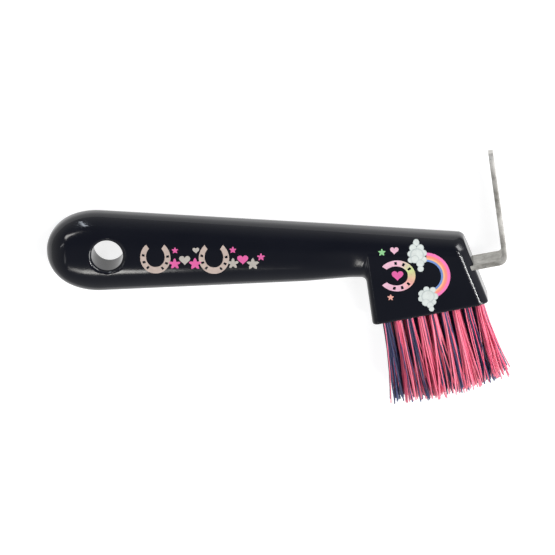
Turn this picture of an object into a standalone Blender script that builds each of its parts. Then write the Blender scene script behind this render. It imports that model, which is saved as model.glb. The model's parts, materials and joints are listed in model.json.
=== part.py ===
"""Hoof pick: a moulded handle with a brush head, a bent steel hook and staple-set bristle tufts.

The pick lies on its side. +X runs along the handle from the hanging hole to the head. +Y is the way the
hook's blade stands, and +Z is up, out of the printed face. The origin is the middle of the footprint, on the
ground.

The shapes are drawn in plan first: X from the rounded heel of the grip, Y from the grip's centreline, and Z
from the middle of the thickness. The empty that carries every piece then moves them into the frame above.
"""

import math

import bmesh
import bpy
from mathutils import Matrix, Vector

# Moulded body, in metres
BODY_THICKNESS = 0.0145
SECTION_POWER = 2.8  # superellipse power of the grip's cross-section: 2 is an oval, more is flatter
GRIP_LENGTH = 0.1202  # heel to the head's rear side, on the centreline
GRIP_WIDTH = 0.0312  # across the grip at the end of the heel
HEEL_LENGTH = 0.0210  # the rounded heel, seen from above
HEEL_ROUNDING = 0.0085  # the same end, seen from the side
NECK_WIDTH = 0.0210
NECK_BEFORE_HEAD = 0.0085  # the narrowest place, ahead of the head's rear side
NECK_DROP = 0.00065  # how far the centreline sinks from the heel to the neck

HEAD_DEPTH = 0.0282  # centreline to the rear corner of the bristle base
HEAD_REAR_TILT = math.radians(7.5)
BASE_LENGTH = 0.0450  # along the face that holds the bristles
BASE_TILT = math.radians(11.25)
END_TILT = math.radians(21.1)  # of the end face that the hook leaves, from upright
HEAD_TOP = 0.00665  # centreline to the top of the end face
LOFT_END_BELOW = 0.0100  # how far the grip's shape runs down the end face, inside the head block
HEAD_ROUNDING = 0.0022
BASE_ROUNDING = 0.0009
BLOCK_ABOVE_NECK = 0.0030  # the head block's hidden top, above the neck's centreline
FACE_STEP = 0.0001  # the block's faces stand this far outside the grip's, so that none coincide

# Hanging hole
HANG_HOLE_X = 0.0234
HANG_HOLE_DIAMETER = 0.0120
HANG_HOLE_RIM = 0.0012
RIM_TURN = math.radians(60)  # how far the rim's rounding turns before it runs straight out

# Steel hook
HOOK_WIDTH = 0.0120
HOOK_THICKNESS = 0.0018
HOOK_TIP_WIDTH = 0.0084
HOOK_EDGE_ROUNDING = 0.00035
SHANK_TILT = math.radians(11.0)
SHANK_UP_END_FACE = 0.0154  # base corner to the shank's centreline, up the end face
SHANK_LENGTH = 0.0119  # end face to the corner of the bend
BEND_RADIUS = 0.0026  # to the strip's mid-thickness
BLADE_LEAN = math.radians(7.9)  # back over the handle, from +Y
BLADE_LENGTH = 0.0430  # corner of the bend to the tip
TANG_LENGTH = 0.0200  # of the strip inside the head
TANG_CLEARANCE = 0.0003
PLUG_HOLE_DIAMETER = 0.0044  # the moulded plug through the tang keeps the hook in
PLUG_DEPTH_IN = 0.0105  # end face to the plug
PLUG_ROOT = 0.0010  # how far the plug's two ends are drawn into the slot's walls

# Bristle tufts
TUFT_COLUMNS = 9  # in the outer rows; the middle row has one less and stands between them
TUFT_ROWS = ("front", "middle", "back")
TUFT_EDGE_REAR = 0.0051  # rear corner to the first hole
TUFT_EDGE_FRONT = 0.0039  # last hole to the front corner
TUFT_ROW_PITCH = 0.0039
TUFT_HOLE_DIAMETER = 0.0030
TUFT_HOLE_DEPTH = 0.0090
TUFT_CLEARANCE = 0.0003
TUFT_LENGTH_REAR = 0.0326  # free length beyond the base
TUFT_LENGTH_MIDDLE = 0.0340
TUFT_LENGTH_FRONT = 0.0306
TUFT_TIP_CHAMFER = 0.0010
FAN_REAR = math.radians(-3.0)  # lean of the first and the last column away from the base's normal
FAN_FRONT = math.radians(5.5)
FAN_SIDE = 0.0006  # how far the outer rows' tips spread
NECK_IN_FREE_LENGTH = 0.0030  # a tuft keeps its root size this far out of its hole
PINK_COLUMNS = (1, 2, 3, 6, 8)  # counted from 0; the others are navy

# Anchor staples, one folded into each tuft at the bottom of its hole
STAPLE_THICKNESS = 0.0003
STAPLE_HEIGHT = 0.0012
STAPLE_CLEARANCE = 0.0003
LOOP_HEIGHT = 0.0010  # of the folded filaments under the staple

# Facets
SECTION_SIDES = 40
HEEL_STEPS = 10
GRIP_STEPS = 6
ROUNDING_STEPS = 4
ROUND_SIDES = 32
TUFT_SIDES = 12
HOLE_SIDES = 16
BEND_STEPS = 10
BLADE_STEPS = 4
TIP_STEPS = 8

ORIGIN_NAME = "hoof_pick_origin"
COLOURS = {
    "gloss_black": ((0.008, 0.010, 0.018), 0.16, 0.0),
    "steel": ((0.46, 0.45, 0.43), 0.34, 1.0),
    "pink": ((0.92, 0.11, 0.24), 0.45, 0.0),
    "navy": ((0.020, 0.022, 0.085), 0.45, 0.0),
    "staple_wire": ((0.62, 0.56, 0.42), 0.38, 1.0),
}


# Scene set-up


def clear_scene():
    for obj in list(bpy.data.objects):
        bpy.data.objects.remove(obj, do_unlink=True)


def new_collection(name):
    collection = bpy.data.collections.new(name)
    bpy.context.scene.collection.children.link(collection)
    return collection


def principled(name, finish):
    colour, roughness, metallic = COLOURS[finish]
    material = bpy.data.materials.new(name)
    material.use_nodes = True
    shader = material.node_tree.nodes["Principled BSDF"]
    shader.inputs["Base Color"].default_value = (*colour, 1.0)
    shader.inputs["Roughness"].default_value = roughness
    shader.inputs["Metallic"].default_value = metallic
    material.diffuse_color = (*colour, 1.0)
    return material


def add_object(name, bm, collection, parent):
    mesh = bpy.data.meshes.new(name)
    bmesh.ops.recalc_face_normals(bm, faces=bm.faces)
    bm.to_mesh(mesh)
    bm.free()
    obj = bpy.data.objects.new(name, mesh)
    obj.parent = parent
    collection.objects.link(obj)
    return obj


def add_part(name, bm, finish, collection, parent, crease=40):
    obj = add_object(name, bm, collection, parent)
    obj.data.materials.append(principled(name + "_material", finish))
    obj.data.shade_smooth()
    obj.data.set_sharp_from_angle(angle=math.radians(crease))
    return obj


def as_cutter(obj):
    obj.hide_render = True
    obj.display_type = "WIRE"
    return obj


def add_boolean(obj, other, operation):
    modifier = obj.modifiers.new(operation.lower() + "_" + other.name, "BOOLEAN")
    modifier.operation = operation
    modifier.solver = "EXACT"
    modifier.object = other


# Shapes shared by several pieces


def add_loft(bm, rings, pole_start=None, pole_end=None):
    """Skins a list of rings of equal length; an end is a flat cap, or a fan of triangles to a pole point."""
    made = [[bm.verts.new(point) for point in ring] for ring in rings]
    count = len(made[0])
    for ring, following in zip(made, made[1:]):
        for i in range(count):
            j = (i + 1) % count
            bm.faces.new((ring[i], ring[j], following[j], following[i]))
    for ring, pole in ((made[0], pole_start), (made[-1], pole_end)):
        if pole is None:
            bm.faces.new(ring)
            continue
        tip = bm.verts.new(pole)
        for i in range(count):
            bm.faces.new((ring[i], ring[(i + 1) % count], tip))


def add_cylinder(bm, radius, start, end, sides):
    """A closed cylinder between two points."""
    axis = end - start
    turn = axis.to_track_quat("Z", "Y").to_matrix().to_4x4()
    bmesh.ops.create_cone(
        bm,
        cap_ends=True,
        segments=sides,
        radius1=radius,
        radius2=radius,
        depth=axis.length,
        matrix=Matrix.Translation((start + end) / 2) @ turn,
    )


def along(direction_angle, distance=1.0):
    """A step in plan at this angle from +X."""
    return Vector((math.cos(direction_angle), math.sin(direction_angle), 0.0)) * distance


# Head corners in plan, which the body, the hook and the tufts all use


def rear_corner():
    x = GRIP_LENGTH + HEAD_DEPTH * math.tan(HEAD_REAR_TILT)
    return Vector((x, -HEAD_DEPTH, 0.0))


def front_corner():
    return rear_corner() + along(BASE_TILT, BASE_LENGTH)


def end_face_point(y):
    corner = front_corner()
    return Vector((corner.x - (y - corner.y) * math.tan(END_TILT), y, 0.0))


def rear_side_point(y):
    return Vector((GRIP_LENGTH - y * math.tan(HEAD_REAR_TILT), y, 0.0))


# Moulded body


def superellipse(angle, half_width, half_thickness):
    power = 2.0 / SECTION_POWER
    across = math.copysign(abs(math.cos(angle)) ** power, math.cos(angle))
    up = math.copysign(abs(math.sin(angle)) ** power, math.sin(angle))
    return across * half_width, up * half_thickness


def body_ring(top, bottom, half_thickness, inset=0.0):
    """One cross-section, in the upright plane that holds its top and bottom points."""
    centre = (top + bottom) / 2
    side = (top - bottom) / 2
    ring = []
    for i in range(SECTION_SIDES):
        angle = 2 * math.pi * i / SECTION_SIDES
        across, up = superellipse(angle, side.length - inset, half_thickness - inset)
        ring.append(centre + side.normalized() * across + Vector((0, 0, up)))
    return ring


def quarter(x, length):
    """Height, from 0 to 1, of a quarter ellipse at x along its length."""
    if x >= length:
        return 1.0
    return math.sqrt(1.0 - (1.0 - x / length) ** 2)


def neck_x():
    return GRIP_LENGTH - NECK_BEFORE_HEAD


def grip_half_thickness():
    return BODY_THICKNESS / 2 - FACE_STEP


def grip_edges(x):
    """Top and bottom points of the straight, tapering grip at this X."""
    share = (x - HEEL_LENGTH) / (neck_x() - HEEL_LENGTH)
    half = (GRIP_WIDTH + (NECK_WIDTH - GRIP_WIDTH) * share) / 2
    centre = -NECK_DROP * share
    return Vector((x, centre + half, 0.0)), Vector((x, centre - half, 0.0))


def heel_rings():
    rings = []
    for step in range(1, HEEL_STEPS + 1):
        x = HEEL_LENGTH * (1 - math.cos(math.pi / 2 * step / HEEL_STEPS))
        top, bottom = grip_edges(x)
        centre = (top + bottom) / 2
        shrink = quarter(x, HEEL_LENGTH)
        half_thickness = grip_half_thickness() * quarter(x, HEEL_ROUNDING)
        ring_top = centre + (top - centre) * shrink
        ring_bottom = centre + (bottom - centre) * shrink
        ring = body_ring(ring_top, ring_bottom, half_thickness)
        rings.append(ring)
    return rings


def grip_rings():
    rings = []
    for step in range(1, GRIP_STEPS + 1):
        x = HEEL_LENGTH + (neck_x() - HEEL_LENGTH) * step / GRIP_STEPS
        rings.append(body_ring(*grip_edges(x), grip_half_thickness()))
    return rings


def end_rings():
    """From the neck the sections turn until the last lies in the slanted end face, with a rounded edge."""
    top_from, bottom_from = grip_edges(neck_x())
    top_to = end_face_point(HEAD_TOP)
    bottom_to = end_face_point(-LOFT_END_BELOW)
    length = (top_to - top_from).length
    rings = []
    for step in range(1, GRIP_STEPS):
        share = step / GRIP_STEPS
        top = top_from.lerp(top_to, share)
        bottom = bottom_from.lerp(bottom_to, share)
        rings.append(body_ring(top, bottom, grip_half_thickness()))
    for step in range(ROUNDING_STEPS + 1):
        turn = math.pi / 2 * step / ROUNDING_STEPS
        share = 1 - (FACE_STEP + HEAD_ROUNDING * (1 - math.sin(turn))) / length
        inset = HEAD_ROUNDING * (1 - math.cos(turn))
        top = top_from.lerp(top_to, share)
        bottom = bottom_from.lerp(bottom_to, share)
        rings.append(body_ring(top, bottom, grip_half_thickness(), inset))
    return rings


def grip_mesh():
    bm = bmesh.new()
    add_loft(bm, heel_rings() + grip_rings() + end_rings(), pole_start=(0.0, 0.0, 0.0))
    return bm


def head_block_mesh():
    """The flat block that holds the bristles. Bevel weights round its base less than its other edges."""
    block_top = -NECK_DROP + BLOCK_ABOVE_NECK
    outline = [rear_corner(), front_corner(), end_face_point(block_top), rear_side_point(block_top)]
    half = Vector((0.0, 0.0, BODY_THICKNESS / 2))
    bm = bmesh.new()
    face = bm.faces.new([bm.verts.new(corner - half) for corner in outline])
    risen = bmesh.ops.extrude_face_region(bm, geom=[face])
    top_verts = [item for item in risen["geom"] if isinstance(item, bmesh.types.BMVert)]
    bmesh.ops.translate(bm, vec=half * 2, verts=top_verts)
    weights = bm.edges.layers.float.new("bevel_weight_edge")
    for edge in bm.edges:
        edge[weights] = block_edge_weight(edge, outline)
    return bm


def block_edge_weight(edge, outline):
    """1 on most edges, less along the two long edges of the bristle base."""
    plan = [Vector((vert.co.x, vert.co.y, 0.0)) for vert in edge.verts]
    near = [min(range(4), key=lambda k: (outline[k] - point).length) for point in plan]
    if sorted(near) == [0, 1]:
        return BASE_ROUNDING / HEAD_ROUNDING
    return 1.0


def add_bevel(obj, width, segments, limit):
    modifier = obj.modifiers.new("rounded_edges", "BEVEL")
    modifier.width = width
    modifier.segments = segments
    modifier.limit_method = limit
    modifier.use_clamp_overlap = True


def hang_hole_cutter(collection, parent):
    """A turned cutter, wider at both mouths, so that the hole's rim is rounded."""
    radius = HANG_HOLE_DIAMETER / 2
    reach = BODY_THICKNESS
    straight = BODY_THICKNESS / 2 - HANG_HOLE_RIM
    upper = []
    for step in range(ROUNDING_STEPS + 1):
        turn = RIM_TURN * step / ROUNDING_STEPS
        outward = HANG_HOLE_RIM * (1 - math.cos(turn))
        upper.append((radius + outward, straight + HANG_HOLE_RIM * math.sin(turn)))
    last_radius, last_height = upper[-1]
    upper.append((last_radius + (reach - last_height) * math.tan(RIM_TURN), reach))
    half_profile = [(0.0, reach), *reversed(upper)]
    profile = half_profile + [(r, -h) for r, h in reversed(half_profile)]
    bm = bmesh.new()
    verts = [bm.verts.new((r, 0.0, h)) for r, h in profile]
    for first, second in zip(verts, verts[1:]):
        bm.edges.new((first, second))
    cutter = add_object("hang_hole_cutter", bm, collection, parent)
    cutter.location = (HANG_HOLE_X, 0.0, 0.0)
    screw = cutter.modifiers.new("turned", "SCREW")
    screw.axis = "Z"
    screw.steps = ROUND_SIDES
    screw.render_steps = ROUND_SIDES
    screw.use_merge_vertices = True
    screw.merge_threshold = 0.00001
    return as_cutter(cutter)


def tang_slot_cutter(collection, parent):
    """The blind slot in the end face that the tang fills, with a clearance on every side."""
    inner = shank_root() - along(SHANK_TILT, TANG_LENGTH + TANG_CLEARANCE)
    outer = shank_root() + along(SHANK_TILT, HOOK_WIDTH)
    slack = 2 * TANG_CLEARANCE
    size = Vector(((outer - inner).length, HOOK_THICKNESS + slack, HOOK_WIDTH + slack))
    bm = bmesh.new()
    bmesh.ops.create_cube(bm, size=1.0, matrix=Matrix.Diagonal((*size, 1.0)))
    slot = add_object("tang_slot_cutter", bm, collection, parent)
    slot.location = (inner + outer) / 2
    slot.rotation_euler = (0.0, 0.0, SHANK_TILT)
    return as_cutter(slot)


def plug_joiner(collection, parent):
    """The plastic that fills the tang's hole and ties the slot's two walls together."""
    centre = plug_centre()
    reach = along(SHANK_TILT + math.pi / 2, HOOK_THICKNESS / 2 + TANG_CLEARANCE + PLUG_ROOT)
    bm = bmesh.new()
    add_cylinder(bm, PLUG_HOLE_DIAMETER / 2 - TANG_CLEARANCE, centre - reach, centre + reach, HOLE_SIDES)
    return as_cutter(add_object("tang_plug_joiner", bm, collection, parent))


def tuft_holes_cutter(collection, parent):
    bm = bmesh.new()
    inward = -base_normal()
    for row in range(len(TUFT_ROWS)):
        for column in range(row_columns(row)):
            mouth = tuft_root(column, row)
            start = mouth - inward * TUFT_HOLE_DIAMETER
            add_cylinder(bm, TUFT_HOLE_DIAMETER / 2, start, mouth + inward * TUFT_HOLE_DEPTH, HOLE_SIDES)
    return as_cutter(add_object("tuft_holes_cutter", bm, collection, parent))


def build_handle(parts, cutters, parent):
    handle = add_part("handle", grip_mesh(), "gloss_black", parts, parent, crease=30)
    block = as_cutter(add_object("head_block_joiner", head_block_mesh(), cutters, parent))
    add_bevel(block, HEAD_ROUNDING, ROUNDING_STEPS, "WEIGHT")
    add_boolean(handle, block, "UNION")
    add_boolean(handle, hang_hole_cutter(cutters, parent), "DIFFERENCE")
    add_boolean(handle, tang_slot_cutter(cutters, parent), "DIFFERENCE")
    add_boolean(handle, plug_joiner(cutters, parent), "UNION")
    add_boolean(handle, tuft_holes_cutter(cutters, parent), "DIFFERENCE")


# Steel hook


def shank_root():
    """Where the strip's middle leaves the end face."""
    return front_corner() + along(math.pi / 2 + END_TILT, SHANK_UP_END_FACE)


def plug_centre():
    return shank_root() - along(SHANK_TILT, PLUG_DEPTH_IN)


def bend_turn():
    """The angle that the strip turns through, from the shank to the blade."""
    return math.pi / 2 + BLADE_LEAN - SHANK_TILT


def bend_start():
    """Distance from the tang's inner end to the start of the bend."""
    return TANG_LENGTH + SHANK_LENGTH - BEND_RADIUS * math.tan(bend_turn() / 2)


def bend_end():
    return bend_start() + BEND_RADIUS * bend_turn()


def tip_distance():
    return bend_end() + BLADE_LENGTH - BEND_RADIUS * math.tan(bend_turn() / 2)


def hook_path(s):
    """Point in plan at distance s from the tang's inner end, along the strip's mid-thickness."""
    start = shank_root() - along(SHANK_TILT, TANG_LENGTH)
    if s <= bend_start():
        return start + along(SHANK_TILT, s)
    centre = start + along(SHANK_TILT, bend_start()) + along(SHANK_TILT + math.pi / 2, BEND_RADIUS)
    turned = min((s - bend_start()) / BEND_RADIUS, bend_turn())
    point = centre + along(SHANK_TILT - math.pi / 2 + turned, BEND_RADIUS)
    return point + along(SHANK_TILT + bend_turn(), max(0.0, s - bend_end()))


def hook_stations():
    """(distance along the strip, half-width) pairs, with extra ones in the bend and round the tip."""
    full = HOOK_WIDTH / 2
    tip_radius = HOOK_TIP_WIDTH / 2
    taper_length = tip_distance() - tip_radius - bend_end()
    stations = [(0.0, full)]
    for step in range(BEND_STEPS + 1):
        stations.append((bend_start() + BEND_RADIUS * bend_turn() * step / BEND_STEPS, full))
    for step in range(1, BLADE_STEPS):
        share = step / BLADE_STEPS
        stations.append((bend_end() + taper_length * share, full + (tip_radius - full) * share))
    for step in range(TIP_STEPS):
        angle = math.pi / 2 * step / TIP_STEPS
        stations.append((tip_distance() - tip_radius * (1 - math.sin(angle)), tip_radius * math.cos(angle)))
    return stations


def hook_sheet():
    """The strip's middle surface: one row of faces, bent in plan and closed by the rounded tip."""
    bm = bmesh.new()
    pairs = []
    for s, half in hook_stations():
        point = hook_path(s)
        pairs.append([bm.verts.new(point + Vector((0, 0, z))) for z in (-half, half)])
    for (low, high), (next_low, next_high) in zip(pairs, pairs[1:]):
        bm.faces.new((low, next_low, next_high, high))
    end = bm.verts.new(hook_path(tip_distance()))
    bm.faces.new((pairs[-1][0], end, pairs[-1][1]))
    return bm


def tang_hole_cutter(collection, parent):
    centre = plug_centre()
    reach = along(SHANK_TILT + math.pi / 2, HOOK_THICKNESS * 2)
    bm = bmesh.new()
    add_cylinder(bm, PLUG_HOLE_DIAMETER / 2, centre - reach, centre + reach, HOLE_SIDES)
    return as_cutter(add_object("tang_hole_cutter", bm, collection, parent))


def build_hook(parts, cutters, parent):
    hook = add_part("hook", hook_sheet(), "steel", parts, parent)
    solid = hook.modifiers.new("strip_thickness", "SOLIDIFY")
    solid.thickness = HOOK_THICKNESS
    solid.offset = 0.0
    solid.use_even_offset = True
    add_bevel(hook, HOOK_EDGE_ROUNDING, 2, "ANGLE")
    add_boolean(hook, tang_hole_cutter(cutters, parent), "DIFFERENCE")


# Bristle tufts and their staples


def base_normal():
    """Straight out of the bristle base."""
    return along(BASE_TILT - math.pi / 2)


def row_columns(row):
    """The middle row has one tuft less."""
    return TUFT_COLUMNS - row % 2


def columns_from_first(column, row):
    """The middle row stands half a pitch further on, so its tufts fill the gaps of the outer rows."""
    return column + row % 2 / 2


def column_share(column, row):
    return columns_from_first(column, row) / (TUFT_COLUMNS - 1)


def column_pitch():
    return (BASE_LENGTH - TUFT_EDGE_REAR - TUFT_EDGE_FRONT) / (TUFT_COLUMNS - 1)


def row_side(row):
    """+1 for the front row, 0 for the middle one and -1 for the back one."""
    return (len(TUFT_ROWS) - 1) / 2 - row


def tuft_root(column, row):
    """Middle of the hole's mouth, on the base."""
    from_corner = TUFT_EDGE_REAR + column_pitch() * columns_from_first(column, row)
    point = rear_corner() + along(BASE_TILT, from_corner)
    return point + Vector((0, 0, row_side(row) * TUFT_ROW_PITCH))


def free_length(column, row):
    """A parabola through the lengths at the rear, in the middle and at the front of the base."""
    t = column_share(column, row)
    rear = TUFT_LENGTH_REAR * (1 - t) * (1 - 2 * t)
    middle = TUFT_LENGTH_MIDDLE * 4 * t * (1 - t)
    front = TUFT_LENGTH_FRONT * t * (2 * t - 1)
    return rear + middle + front


def tuft_tip(column, row, distance):
    """Centre of the tuft at this distance out of its hole, fanned with its column and row."""
    lean = FAN_REAR + (FAN_FRONT - FAN_REAR) * column_share(column, row)
    outward = along(BASE_TILT - math.pi / 2 + lean)
    straight = base_normal() * NECK_IN_FREE_LENGTH
    spread = FAN_SIDE * row_side(row) * distance / free_length(column, row)
    fanned = outward * (distance - NECK_IN_FREE_LENGTH)
    return tuft_root(column, row) + straight + fanned + Vector((0, 0, spread))


def tuft_ring(centre, half_along, half_across):
    ring = []
    for i in range(TUFT_SIDES):
        angle = 2 * math.pi * i / TUFT_SIDES
        side = along(BASE_TILT, half_along * math.cos(angle))
        ring.append(centre + side + Vector((0, 0, half_across * math.sin(angle))))
    return ring


def tip_half_sizes():
    """Half-sizes of a tuft's tip, along and across the base: its share of the fan, less a clearance."""
    spread = TUFT_LENGTH_REAR * (FAN_FRONT - FAN_REAR) / (TUFT_COLUMNS - 1)
    along_base = (column_pitch() + spread) / 2 - TUFT_CLEARANCE
    across_base = (TUFT_ROW_PITCH + FAN_SIDE) / 2 - TUFT_CLEARANCE / 2
    return along_base, across_base


def tuft_mesh(column, row):
    root_radius = TUFT_HOLE_DIAMETER / 2 - TUFT_CLEARANCE
    half_along, half_across = tip_half_sizes()
    length = free_length(column, row)
    mouth = tuft_root(column, row)
    bottom = mouth - base_normal() * (TUFT_HOLE_DEPTH - TUFT_CLEARANCE)
    leave = mouth + base_normal() * NECK_IN_FREE_LENGTH
    shoulder = tuft_tip(column, row, length - TUFT_TIP_CHAMFER)
    tip = tuft_tip(column, row, length)
    rings = [
        tuft_ring(bottom, root_radius, root_radius),
        tuft_ring(leave, root_radius, root_radius),
        tuft_ring(shoulder, half_along, half_across),
        tuft_ring(tip, half_along - TUFT_TIP_CHAMFER, half_across - TUFT_TIP_CHAMFER),
    ]
    bm = bmesh.new()
    add_loft(bm, rings)
    return bm


def staple_centre(column, row):
    height = TUFT_HOLE_DEPTH - TUFT_CLEARANCE - LOOP_HEIGHT - STAPLE_CLEARANCE - STAPLE_HEIGHT / 2
    return tuft_root(column, row) - base_normal() * height


def add_box(bm, centre, size):
    """A box whose first side runs along the base, the second out of it and the third across it."""
    turn = Matrix.Rotation(BASE_TILT, 4, "Z")
    place = Matrix.Translation(centre) @ turn @ Matrix.Diagonal((*size, 1.0))
    bmesh.ops.create_cube(bm, size=1.0, matrix=place)


def staple_window_cutter(name, column, row, collection, parent):
    """The gap between the tuft's two folded legs that the staple passes through."""
    width = STAPLE_THICKNESS + 2 * STAPLE_CLEARANCE
    height = STAPLE_HEIGHT + 2 * STAPLE_CLEARANCE
    bm = bmesh.new()
    add_box(bm, staple_centre(column, row), (width, height, TUFT_HOLE_DIAMETER * 2))
    return as_cutter(add_object(name, bm, collection, parent))


def build_tuft(column, row, parts, cutters, parent):
    label = f"{TUFT_ROWS[row]}_{column + 1}"
    finish = "pink" if column in PINK_COLUMNS else "navy"
    tuft = add_part("tuft_" + label, tuft_mesh(column, row), finish, parts, parent)
    window = staple_window_cutter("window_cutter_" + label, column, row, cutters, parent)
    add_boolean(tuft, window, "DIFFERENCE")


def build_staple(column, row, parts, parent):
    across = TUFT_HOLE_DIAMETER - 2 * TUFT_CLEARANCE
    bm = bmesh.new()
    add_box(bm, staple_centre(column, row), (STAPLE_THICKNESS, STAPLE_HEIGHT, across))
    add_part(f"staple_{TUFT_ROWS[row]}_{column + 1}", bm, "staple_wire", parts, parent)


# Placing


def place_origin(parts, parent):
    """Moves the empty so that the footprint's middle, on the ground, is the world's origin."""
    graph = bpy.context.evaluated_depsgraph_get()
    corners = []
    for obj in parts.objects:
        if obj.type == "MESH":
            evaluated = obj.evaluated_get(graph)
            corners += [evaluated.matrix_world @ Vector(corner) for corner in evaluated.bound_box]
    low = Vector([min(corner[k] for corner in corners) for k in range(3)])
    high = Vector([max(corner[k] for corner in corners) for k in range(3)])
    parent.location = (-(low.x + high.x) / 2, -(low.y + high.y) / 2, -low.z)
    bpy.context.view_layer.update()
    return high - low


def report_places(parent):
    """Prints the positions that a record of this part needs, in world metres."""
    half = Vector((0, 0, BODY_THICKNESS / 2))
    places = {
        "hang hole": Vector((HANG_HOLE_X, 0, 0)),
        "rear corner": rear_corner(),
        "front corner": front_corner(),
        "shank root": shank_root(),
        "tang end": hook_path(0.0),
        "head face": rear_corner().lerp(end_face_point(0.0), 0.5) - half,
        "grip middle": Vector((neck_x() / 2, 0, 0)) - half,
        "first tuft": tuft_root(0, 0),
        "last tuft": tuft_root(TUFT_COLUMNS - 1, 0),
    }
    for name, point in places.items():
        world = parent.matrix_world @ point
        print(f"{name}: {world.x:.5f} {world.y:.5f} {world.z:.5f}")


def main():
    clear_scene()
    parts = new_collection("hoof_pick")
    cutters = new_collection("cutters")
    origin = bpy.data.objects.new(ORIGIN_NAME, None)
    parts.objects.link(origin)
    build_handle(parts, cutters, origin)
    build_hook(parts, cutters, origin)
    for row in range(len(TUFT_ROWS)):
        for column in range(row_columns(row)):
            build_tuft(column, row, parts, cutters, origin)
            build_staple(column, row, parts, origin)
    bpy.context.view_layer.update()
    size = place_origin(parts, origin)
    print("overall size, m:", [round(value, 5) for value in size])
    report_places(origin)


main()
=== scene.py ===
# %% [markdown]
# # A hoof pick, finished
# The pick has a gloss black moulded body, a bent steel hook, and a block of pink and navy bristles. The
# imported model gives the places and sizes. This script loads it, then gives each piece its fine shape and
# its finish.

# %% Load the frame and keep its box
import json
import math

import bmesh
import bpy
import numpy as np
from mathutils import Matrix, Vector


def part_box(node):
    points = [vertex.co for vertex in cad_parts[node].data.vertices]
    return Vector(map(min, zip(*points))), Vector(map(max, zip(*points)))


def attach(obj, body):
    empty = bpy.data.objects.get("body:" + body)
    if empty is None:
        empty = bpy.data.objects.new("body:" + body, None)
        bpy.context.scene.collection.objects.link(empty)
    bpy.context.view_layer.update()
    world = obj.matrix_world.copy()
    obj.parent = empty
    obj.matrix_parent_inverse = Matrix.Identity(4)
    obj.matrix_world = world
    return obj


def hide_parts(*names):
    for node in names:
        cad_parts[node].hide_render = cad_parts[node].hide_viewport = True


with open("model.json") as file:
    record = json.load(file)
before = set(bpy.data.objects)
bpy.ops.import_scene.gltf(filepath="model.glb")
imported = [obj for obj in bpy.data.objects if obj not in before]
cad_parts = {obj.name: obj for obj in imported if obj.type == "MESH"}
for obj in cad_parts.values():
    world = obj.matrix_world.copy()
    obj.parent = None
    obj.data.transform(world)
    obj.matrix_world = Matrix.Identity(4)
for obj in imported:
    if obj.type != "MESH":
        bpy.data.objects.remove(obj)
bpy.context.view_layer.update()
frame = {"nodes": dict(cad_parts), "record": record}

# %% [markdown]
# ## One drawing for every piece
# The outline is easiest to think about in plan: X from the rounded heel, Y from the grip's centreline and Z
# from the middle of the thickness. Heel, centreline and thickness come from the frame: the handle's box
# gives the heel and the thickness, and the hanging hole's box in the record lies on the centreline.

# %% Plan coordinates
handle_low, handle_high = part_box("handle")
openings = {entry["name"]: entry["box_m"] for entry in frame["record"]["physics"]["openings"]}
hole_low, hole_high = (Vector(corner) for corner in openings["hanging_hole"])
hole_centre = (hole_low + hole_high) / 2
thickness = handle_high.z - handle_low.z
heel = Vector((handle_low.x, hole_centre.y, (handle_low.z + handle_high.z) / 2))
print("heel of the grip at", [round(v, 5) for v in heel], "thickness", round(thickness, 4))


def step(angle, distance=1.0):
    """A step in plan, at this angle from +X."""
    return Vector((math.cos(angle), math.sin(angle), 0.0)) * distance


def np3(vector):
    return np.array(vector, dtype=float)


# %% Sizes of the moulding, in metres
SECTION_POWER = 2.8  # roundness of the grip's section: 2 is an oval, more is flatter
HEEL_LENGTH = 0.0210
HEEL_ROUNDING = 0.0085
GRIP_HALF = 0.0156
NECK_HALF = 0.0105
NECK_X = 0.1117
NECK_DROP = 0.00065
HEAD_TOP = 0.00665

GRIP_LENGTH = 0.1202
HEAD_DEPTH = 0.0282
REAR_TILT = math.radians(7.5)
BASE_TILT = math.radians(11.25)
BASE_LENGTH = 0.0450
END_TILT = math.radians(21.1)

rear_corner = Vector((GRIP_LENGTH + HEAD_DEPTH * math.tan(REAR_TILT), -HEAD_DEPTH, 0.0))
front_corner = rear_corner + step(BASE_TILT, BASE_LENGTH)
base_out = step(BASE_TILT - math.pi / 2)
end_out = step(END_TILT)
rear_out = step(REAR_TILT + math.pi)

# %% [markdown]
# ## The moulded body
# The real body is one injection moulding: an oval grip that runs into a flat head, with every edge rounded
# and a soft fillet where the two meet. It could be a subdivided cage, but the fillet dies out half way up
# the neck, and a cage has no simple place for that. So the body is written as a distance: a function that
# is negative inside the plastic, positive outside and zero on the skin. Two shapes meet with a round edge
# or a fillet by combining their distances, and a net is then pulled tight over the zero level.

# %% Rounded joins between distances
def round_max(a, b, radius):
    """Inside both shapes, with their shared edge rounded."""
    beyond = np.hypot(np.maximum(a + radius, 0.0), np.maximum(b + radius, 0.0))
    return np.minimum(np.maximum(a, b), -radius) + beyond


def round_min(a, b, radius):
    """Inside either shape, with a fillet where they meet."""
    return -round_max(-a, -b, radius)


def ramp(value, start, end):
    """0 at start, 1 at end, smooth between."""
    t = np.clip((value - start) / (end - start), 0.0, 1.0)
    return t * t * (3.0 - 2.0 * t)


# %% The grip as a distance
def quarter(x, length):
    """Height of a quarter ellipse, from 0 at x = 0 to 1 at its length."""
    share = np.clip(x / length, 1e-6, 1.0)
    return np.sqrt(1.0 - (1.0 - share) ** 2)


def grip_lines(x):
    """Centreline and half-width of the tapering grip, and of the head's upper half beyond the neck."""
    share = (x - HEEL_LENGTH) / (NECK_X - HEEL_LENGTH)
    top_x = front_corner.x - (HEAD_TOP - front_corner.y) * math.tan(END_TILT)
    beyond = (x - NECK_X) / (top_x - NECK_X)
    head_half = NECK_HALF + (HEAD_TOP + NECK_DROP - NECK_HALF) * beyond
    centre = -NECK_DROP * np.minimum(share, 1.0)
    half = np.where(x < NECK_X, GRIP_HALF + (NECK_HALF - GRIP_HALF) * share, head_half)
    return centre, half


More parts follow.
